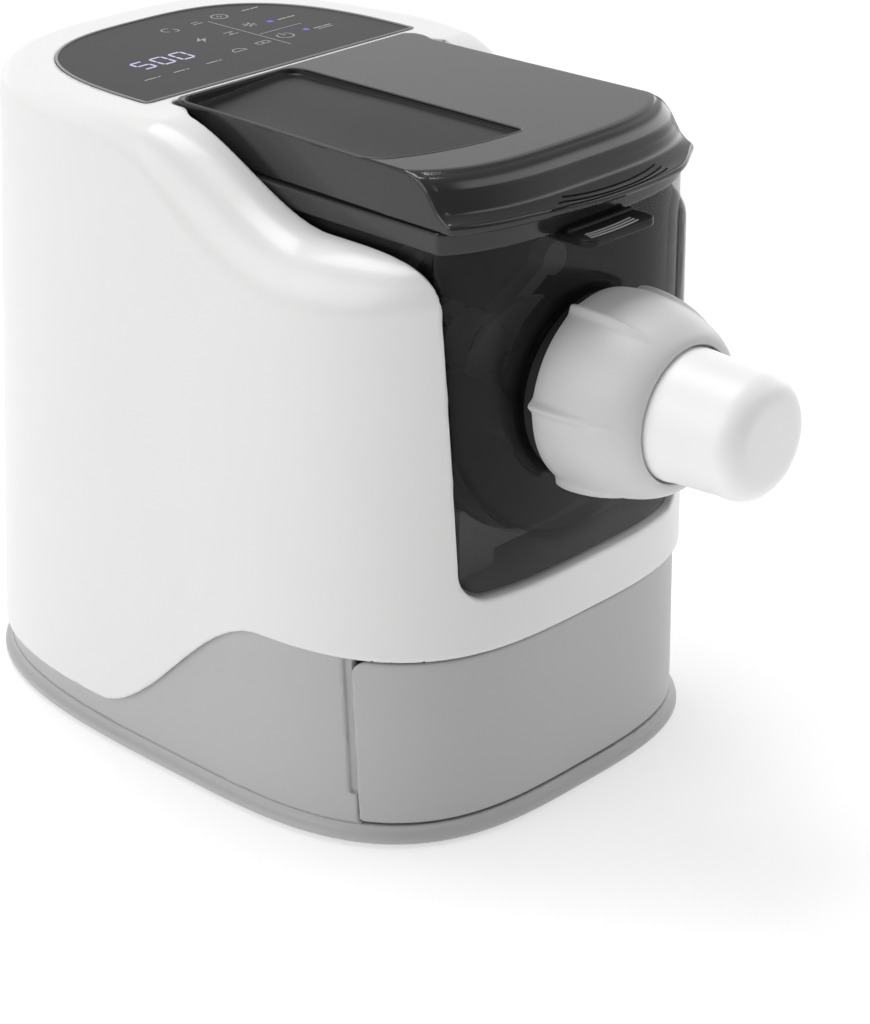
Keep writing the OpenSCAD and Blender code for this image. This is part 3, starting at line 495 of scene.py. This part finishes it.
def roof(w):
    "height of the lid's outer face, and its slope, at distance w outside the wall's outline"
    w = np.clip(w, LW[0], LW[-1] - 1e-6)
    i = np.clip(np.searchsorted(LW, w, side="right") - 1, 0, len(LW) - 2)
    h = LW[i + 1] - LW[i]
    t = (w - LW[i]) / h
    a, b, ma, mb = LZ[i], LZ[i + 1], LM[i] * h, LM[i + 1] * h
    z = a * (2 * t**3 - 3 * t**2 + 1) + ma * (t**3 - 2 * t**2 + t) + b * (3 * t**2 - 2 * t**3) + mb * (t**3 - t**2)
    s = (a * (6 * t * t - 6 * t) + ma * (3 * t * t - 4 * t + 1) + b * (6 * t - 6 * t * t) + mb * (3 * t * t - 2 * t)) / h
    return z, s


def lid_half(y):
    return 67.3 + 2.9 * smooth((2.5 - y) / 145)


def lip_reach(x):
    "how far the lip stands out from the wall's outline: it bulges to a grip right of the middle"
    return 5.0 + 3.6 * smooth((x + 42) / 48) * smooth((66 - x) / 24)


def pocket_plan(x, y, z):
    "plan of the water tray, a little wider at the top"
    left, right, rear = 1.7 - x - lid_half(y), x + 4.2, y - 8.7
    u = np.abs(x) / 64.6
    front = (-114.2 + 13.8 * u ** 2.6 - y) / np.sqrt(1 + (0.555 * u ** 1.6) ** 2)
    q = np.maximum(isect(left, rear, 5.5), isect(right, rear, 7.0))
    q = np.maximum(q, np.maximum(isect(left, front, 5.0), isect(right, front, 1.0)))
    return q - 0.3 * (z - 273)


def lid(x, y, z):
    w = wall(x, y, 262.0 + 0 * z)
    hz, hs = roof(w)
    # the front slope lies a little lower inside its border
    inner = smooth((lid_half(y) - 2.3 - np.abs(x)) / 1.6) * (1 - smooth((w + 0.5) / 3))
    top = (z - hz + 0.38 * inner * smooth((w + 11.6) / 1.3)) / np.sqrt(1 + hs * hs)
    r = 3.2 - 2.5 * np.maximum(smooth((8 - x) / 10) * smooth((y + 118) / 12), smooth((y + 4) / 8))
    r = np.minimum(r, 1.0 + 2.2 * smooth((x + 20) / 40))
    plan = isect(np.abs(x) - lid_half(y), y - 12.8, 7.0)
    side = isect(top, plan, r)
    hy = np.hypot(y - 2.5, z - 266.5)
    rear = np.minimum(np.minimum(y - 2.5, hy - 8), np.maximum(hy - 12.2, 266.5 - z))
    f = np.maximum(side, rear)
    f = isect(f, w - lip_reach(x), 1.1)
    floor = 272.7 - 2.3 * smooth((-4 - x) / 60) - 0.5 * smooth((y + 60) / 60)
    pocket = isect(pocket_plan(x, y, z), floor - z, 1.6)
    f = isect(f, -pocket, 0.8)
    f = np.maximum(f, -(f + 2.3))
    f = isect(f, 254.95 - z, 0.5)
    for k in range(4):                             # where the water runs through
        f = np.maximum(f, -np.maximum(rect(x, y, (-63.8, -33 - 9 * k), (1.4, 3.0), 1.2), 262 - z))
    boss = np.maximum(np.maximum(hy - 5.0, z - 269.2), np.abs(np.abs(x) - 64.4) - 2.7)
    return np.minimum(f, np.maximum(boss, -(np.hypot(y - 2.5, z - 266.5) - 2.02)))


def tray_part(x, y, z):
    return np.maximum(pocket_plan(x, y, z) - 0.75, 266.6 - z)


solid("smoked_lid", lambda x, y, z: np.maximum(lid(x, y, z), -tray_part(x, y, z)), (-74, -160, 252), (74, 17, 278), 0.85, 190000,
      M["smoked_lid"], "lid", ["lid"], face=lid)
solid("smoked_lid_tray", lambda x, y, z: np.maximum(lid(x, y, z), tray_part(x, y, z)), (-74, -122, 262), (2, 17, 278), 0.7, 90000,
      M["smoked_tray"], "lid", face=lid)

# ------------------------------------------------------------------ nozzle


def nut(x, y, z):
    r = np.hypot(x, z - SZ)
    a = np.arctan2(z - SZ, x)
    s = np.clip((-158 - y) / 38.2, 0, 0.9995)
    R = np.where(y > -158, 39.5 - 0.8 * ((y + 158) / 5.8) ** 2, 27.0 + 12.5 * (1 - s ** 2.15) ** (1 / 2.15))
    slope = 12.5 / 38.2 * s ** 1.15 * (1 - s ** 2.15) ** (1 / 2.15 - 1)
    da = np.angle(np.exp(1j * 6 * (a - math.radians(55)))) / 6 * 38
    fade = np.clip((y + 190) / 30, 0, 1.0)
    fade = fade * (1.6 - 0.6 * fade)
    rib = 2.55 * np.exp(-(da / (1.25 + 0.7 * fade)) ** 2) + 0.35 * np.exp(-(da / 6.0) ** 2)
    body = isect((r - R - rib * fade) / np.sqrt(1.15 + slope * slope), -196.1 - y, 0.5)
    body = isect(body, y + 152.2, 0.5)
    bore = np.minimum(np.maximum(r - 32.03, -188 - y), np.maximum(r - 29.7, -191.9 - y))
    bore = np.minimum(bore, np.maximum(r - 33.4, -155.4 - y))
    bore = np.minimum(bore, r - 27.3)
    return isect(body, -bore, 0.4)


solid("grey_locking_nut", nut, (-45, -200, SZ - 45), (45, -149, SZ + 45), 0.7, 110000, M["light_grey"], "nut", ["locking_nut"])


def hood(x, y, z):
    r = np.hypot(x, z - SZ)
    k = (y + 235.4) / 40.1
    out = isect(r - (24.3 + 2.0 * np.clip(k, 0, 1)), -235.4 - y - 0.25 * (1 - np.clip(r / 16, 0, 1) ** 2), 9.6)
    out = np.maximum(out, y + 191.8)
    flange = isect(r - 29.1, np.abs(y + 188.6) - 3.1, 0.3)
    f = join(out, flange, 0.4)
    cav = isect(r - (21.7 + 2.0 * np.clip(k, 0, 1)), -232.4 - y, 6)
    f = np.maximum(f, -cav)
    slot = isect(rect(x, y, (0, -211.8), (15, 14.2), 3), z - SZ + 5, 0.3)
    return isect(f, -slot, 0.7)


solid("white_outlet_hood", hood, (-32, -239, SZ - 32), (32, -183, SZ + 32), 0.7, 60000, M["white_satin"], "die", ["outlet_hood"])

# ------------------------------------------------------------------ touch panel


def panel(x, y, z):
    return isect(panel_edge(x, y), np.abs(z - 272.4) - 0.75, 0.35)


solid("touch_panel", panel, (-80, 12, 270), (80, 116, 275), 0.8, 16000, M["panel_dark"], "housing", ["control_panel"], eps=0.05)


def loop(name, pts, r, mat, body, closed=True, n=8):
    "a thin round bead along points"
    P, N = np.array(pts, float), len(pts)
    T = np.roll(P, -1, 0) - np.roll(P, 1, 0)
    if not closed:
        T[0], T[-1] = P[1] - P[0], P[-1] - P[-2]
    T /= np.linalg.norm(T, axis=1)[:, None]
    up = np.array([0, 0, 1.0])
    S = np.cross(T, up)
    S /= np.linalg.norm(S, axis=1)[:, None]
    U = np.cross(S, T)
    a = 2 * np.pi * np.arange(n) / n
    V = (P[:, None] + r * (np.cos(a)[None, :, None] * S[:, None] + np.sin(a)[None, :, None] * U[:, None])).reshape(-1, 3)
    m = N if closed else N - 1
    F = [[i * n + j, i * n + (j + 1) % n, ((i + 1) % N) * n + (j + 1) % n, ((i + 1) % N) * n + j] for i in range(m) for j in range(n)]
    me = raw_mesh(name, place(V), np.array(F), 4)
    me.polygons.foreach_set("use_smooth", np.ones(len(me.polygons), bool))
    return add(name, me, mat, body)


def on_wall(x, w, z, lo=-175.0, hi=-100.0):
    "y in front where the outline's distance is w"
    for _ in range(40):
        mid = (lo + hi) / 2
        if wall(np.array(float(x)), np.array(mid), np.array(float(z))) > w:
            lo = mid
        else:
            hi = mid
    return (lo + hi) / 2


# grip grooves on the lid's lip, drawn as raised beads in a near-black colour that is painted groove shade
for k, (wk, drop, xa, xb) in enumerate(((4.0, 1.9, -20, 33.8), (6.4, 2.2, -24, 35.9), (7.9, 1.5, -30, 37.4))):
    pts = []
    for x in np.linspace(xa, xb, 40):
        wt = wk - drop * min(((x - 9) / 26) ** 2, 1.3)
        pts.append((x, on_wall(x, wt, 262), float(roof(np.array(wt))[0]) + 0.08))
    loop("lid_grip_groove_%d" % (k + 1), pts, 0.34, M["groove"], "lid", closed=False)
# the tab's grip lines are real ribs, and their light grey colour is a painted highlight along each rib
for k in range(3):
    pts = [(x, -158.4 - 1.9 * k + 0.9 * ((x + 5) / 14) ** 2, 246.25) for x in np.linspace(-17.0 - 0.6 * k, 9.5, 20)]
    loop("tab_grip_line_%d" % (k + 1), pts, 0.4, M["panel_rim"], "bowl", closed=False)

edge = []                                           # raised bead around the water tray, in a lighter grey that is a painted highlight along the tray's edge
for t in np.linspace(0, 2 * math.pi, 240, endpoint=False):
    c, d = math.cos(t), math.sin(t)
    near, far = 5.0, 120.0
    for _ in range(30):
        mid = (near + far) / 2
        if pocket_plan(np.array(-34 + mid * c), np.array(-53 + mid * d), np.array(274.5)) < 0.75:
            near = mid
        else:
            far = mid
    edge.append((-34 + near * c, -53 + near * d, 274.32))
loop("lid_tray_bead", edge, 0.5, M["bead_painted_highlight"], "lid")

t_ = np.linspace(0, math.pi, 90)
rim_pts = [(75.2 * math.copysign(abs(math.cos(t)) ** (2 / 2.9), math.cos(t)), 17.8 + 93.8 * math.sin(t) ** (2 / 2.9), 273.15) for t in t_]
rim_pts += [(x, 17.8, 273.15) for x in np.linspace(-73, 73, 40)]
loop("panel_edge_line", rim_pts, 0.55, M["panel_rim"], "housing")

PZ = 273.21         # just above the panel's face


def flat(name, polys, mat, body="housing", z=PZ):
    "thin printed or lit marks on the panel, from outlines in x and y"
    V, F = [], []
    for q in polys:
        n, k = len(q), len(V)
        V += [(x, y, z) for x, y in q] + [(x, y, z - 0.04) for x, y in q]
        F += [[k + i for i in range(n)]] + [[k + i, k + n + i, k + n + (i + 1) % n, k + (i + 1) % n] for i in range(n)]
    me = bpy.data.meshes.new(name)
    me.from_pydata([tuple(c) for c in place(np.array(V, float))], [], F)
    me.update()
    return add(name, me, mat, body)


def bar2(x0, y0, x1, y1, t):
    "outline of a straight stroke t wide"
    d = math.hypot(x1 - x0, y1 - y0)
    u, v = (x1 - x0) / d, (y1 - y0) / d
    a, b = -v * t / 2, u * t / 2
    return [(x0 - a, y0 - b), (x1 - a, y1 - b), (x1 + a, y1 + b), (x0 + a, y0 + b)]


def ring2(cx, cy, r, t, a0=0.0, a1=360.0, n=20):
    p = [(cx + r * math.cos(math.radians(a0 + (a1 - a0) * i / n)), cy + r * math.sin(math.radians(a0 + (a1 - a0) * i / n))) for i in range(n + 1)]
    return [bar2(*p[i], *p[i + 1], t) for i in range(n)]


SEGS = {"a": (0, 2, 1, 2), "b": (1, 1, 1, 2), "c": (1, 0, 1, 1), "d": (0, 0, 1, 0), "e": (0, 0, 0, 1), "f": (0, 1, 0, 2), "g": (0, 1, 1, 1)}


def digit(x, y, w, h, on):
    out = []
    for k in on:
        x0, y0, x1, y1 = SEGS[k]
        gx, gy = (0.4, 0.0) if y0 == y1 else (0.0, 0.4)
        out.append(bar2(x + w * x0 + gx, y + h / 2 * y0 + gy, x + w * x1 - gx, y + h / 2 * y1 - gy, 1.25))
    return out


flat("panel_digits", digit(-44.6, 53.2, 6.2, 9.8, "afgcd") + digit(-34.4, 52.9, 6.2, 9.8, "abcdef") + digit(-24.2, 52.6, 6.2, 9.8, "abcdef"), M["digit"])
keys = []
for cx, cy in ((-51.5, 41), (-35.9, 41), (-18.2, 40.8)):
    keys += [bar2(cx - 4.0, cy + 0.35, cx + 2.2, cy + 0.35, 1.0), bar2(cx + 2.9, cy + 0.35, cx + 4.4, cy + 0.35, 1.0)]
for cx, cy in ((49.0, 90.6), (50.0, 68.8), (51.0, 47.8)):
    keys += [bar2(cx - 5.2, cy, cx - 0.6, cy, 1.2), bar2(cx, cy, cx + 4.6, cy, 1.2)]
keys += [bar2(46.4, 45.6, 54.8, 45.6, 0.8)]
keys += ring2(0.7, 90.6, 2.6, 0.8, 40, 250) + ring2(2.6, 88.4, 2.0, 0.8, -120, 70)
keys += [bar2(14.0, 89.0, 19.6, 89.0, 0.8), bar2(14.8, 91.4, 18.8, 91.4, 0.8)]
keys += ring2(31.0, 91.0, 3.6, 0.8) + [bar2(29.4, 91.0, 32.6, 91.0, 0.8), bar2(31.0, 89.4, 31.0, 92.6, 0.8)]
keys += [[(1.9, 73.0), (-2.6, 68.4), (0.2, 68.6)], [(-0.6, 65.2), (3.8, 70.0), (1.0, 69.8)]]
keys += [bar2(13.6, 66.2, 19.0, 66.2, 0.8), bar2(13.6, 69.6, 19.0, 69.6, 0.8), bar2(16.3, 66.2, 16.3, 69.6, 0.8)]
keys += [bar2(31.0 - 3.4 * math.cos(t), 72.0 - 3.4 * math.sin(t), 31.0 + 3.4 * math.cos(t), 72.0 + 3.4 * math.sin(t), 0.8) for t in (0.0, 1.047, 2.094)]
keys += ring2(0.7, 45.4, 3.2, 0.8, 0, 180, 12) + [bar2(-3.0, 45.0, 4.4, 45.0, 0.8)]
keys += [bar2(12.4, 46.2, 19.0, 46.2, 0.8), bar2(12.4, 49.2, 19.0, 49.2, 0.8), bar2(12.4, 46.2, 12.4, 49.2, 0.8), bar2(19.0, 46.2, 19.0, 49.2, 0.8), bar2(15.7, 46.2, 15.7, 49.2, 0.8)]
keys += ring2(29.8, 48.6, 3.6, 0.8, 120, 420) + [bar2(29.8, 48.8, 29.8, 53.0, 0.8)]
flat("panel_keys", keys, M["mark"])
flat("panel_lines", [bar2(22.2, 37.4, 22.2, 88.5, 0.6), bar2(23.4, 57.8, 48.0, 57.8, 0.6)], M["mark"])
flat("panel_lights", [[(40.7 + 1.5 * math.cos(a), 69.4 + 1.5 * math.sin(a)) for a in np.linspace(0, 2 * math.pi, 17)[:-1]],
                      [(42.4 + 1.5 * math.cos(a), 49.2 + 1.5 * math.sin(a)) for a in np.linspace(0, 2 * math.pi, 17)[:-1]]], M["led"])

# ------------------------------------------------------------------ camera, light, floor


def camera():
    az, el = -0.8164, 0.4385
    right = (math.cos(az), math.sin(az), 0)
    up = (-math.sin(az) * math.sin(el), math.cos(az) * math.sin(el), math.cos(el))
    back = (math.sin(az) * math.cos(el), -math.cos(az) * math.cos(el), math.sin(el))
    cam = bpy.data.cameras.new("camera")
    cam.sensor_fit = "VERTICAL"
    cam.sensor_height = 36
    cam.lens = 98.44
    cam.clip_end = 20
    o = bpy.data.objects.new("camera", cam)
    bpy.context.scene.collection.objects.link(o)
    o.matrix_world = Matrix(((right[0], up[0], back[0], -0.76863), (right[1], up[1], back[1], -0.74580),
                             (right[2], up[2], back[2], 0.59269), (0, 0, 0, 1)))
    bpy.context.scene.camera = o


def area(name, where, target, size, power, colour=(1, 1, 1)):
    li = bpy.data.lights.new(name, "AREA")
    li.shape = "RECTANGLE"
    li.size, li.size_y = size
    li.energy = power
    li.color = colour
    o = bpy.data.objects.new(name, li)
    d = Matrix.Translation(where).to_translation() - Matrix.Translation(target).to_translation()
    o.rotation_euler = d.to_track_quat("Z", "Y").to_euler()
    o.location = where
    bpy.context.scene.collection.objects.link(o)


camera()
floor_me = raw_mesh("floor", np.array([(-6, -6, 0), (6, -6, 0), (6, 6, 0), (-6, 6, 0)]), np.array([[0, 1, 2, 3]]), 4)
floor_me.materials.append(material("floor", (0.66, 0.66, 0.66), 0.7, 0.004, 60, 0.01, emission=(1, 1, 1), strength=0.45))
floor_o = bpy.data.objects.new("floor", floor_me)
bpy.context.scene.collection.objects.link(floor_o)


def sky():
    "pale surround: dimmer in front of the object and above it, with one bright arc"
    world = bpy.data.worlds.new("world")
    bpy.context.scene.world = world
    world.use_nodes = True
    nt = world.node_tree
    tc = nt.nodes.new("ShaderNodeTexCoord")

    def toward(direction, a0, a1, v0, v1):
        dot = nt.nodes.new("ShaderNodeVectorMath")
        dot.operation = "DOT_PRODUCT"
        dot.inputs[1].default_value = direction
        mr = nt.nodes.new("ShaderNodeMapRange")
        mr.interpolation_type = "SMOOTHSTEP"
        for k, v in (("From Min", a0), ("From Max", a1), ("To Min", v0), ("To Max", v1)):
            mr.inputs[k].default_value = v
        nt.links.new(tc.outputs["Generated"], dot.inputs[0])
        nt.links.new(dot.outputs["Value"], mr.inputs["Value"])
        return mr.outputs["Result"]

    def calc(op, a, b):
        n = nt.nodes.new("ShaderNodeMath")
        n.operation = op
        nt.links.new(a, n.inputs[0])
        nt.links.new(b, n.inputs[1])
        return n.outputs["Value"]
    wide = calc("MULTIPLY", toward((-0.45, -0.88, 0.14), 0.0, 0.9, 0.86, 0.2), toward((0.0, 0.0, 1.0), 0.5, 0.72, 1.0, 0.45))
    # a bright arc to the right, which runs along the lid's front slope
    axis = (0.243, 0.508, 0.826)
    arc = calc("MULTIPLY", toward(axis, 0.24, 0.38, 0.0, 1.0), toward(axis, 0.46, 0.62, 1.0, 0.0))
    arc = calc("MULTIPLY", arc, toward((1.0, 0.0, 0.0), -0.05, 0.2, 0.0, 1.7))
    bg = nt.nodes["Background"]
    bg.inputs["Color"].default_value = (1, 1, 1, 1)
    nt.links.new(calc("ADD", wide, arc), bg.inputs["Strength"])


sky()
area("key", (-1.5, 0.25, 1.1), (0, 0, 0.14), (1.2, 1.2), 8)
area("top", (0.0, 0.45, 1.85), (0, 0, 0.2), (0.9, 0.9), 15)
bpy.context.scene.view_settings.view_transform = "Standard"
bpy.context.scene.view_settings.look = "None"
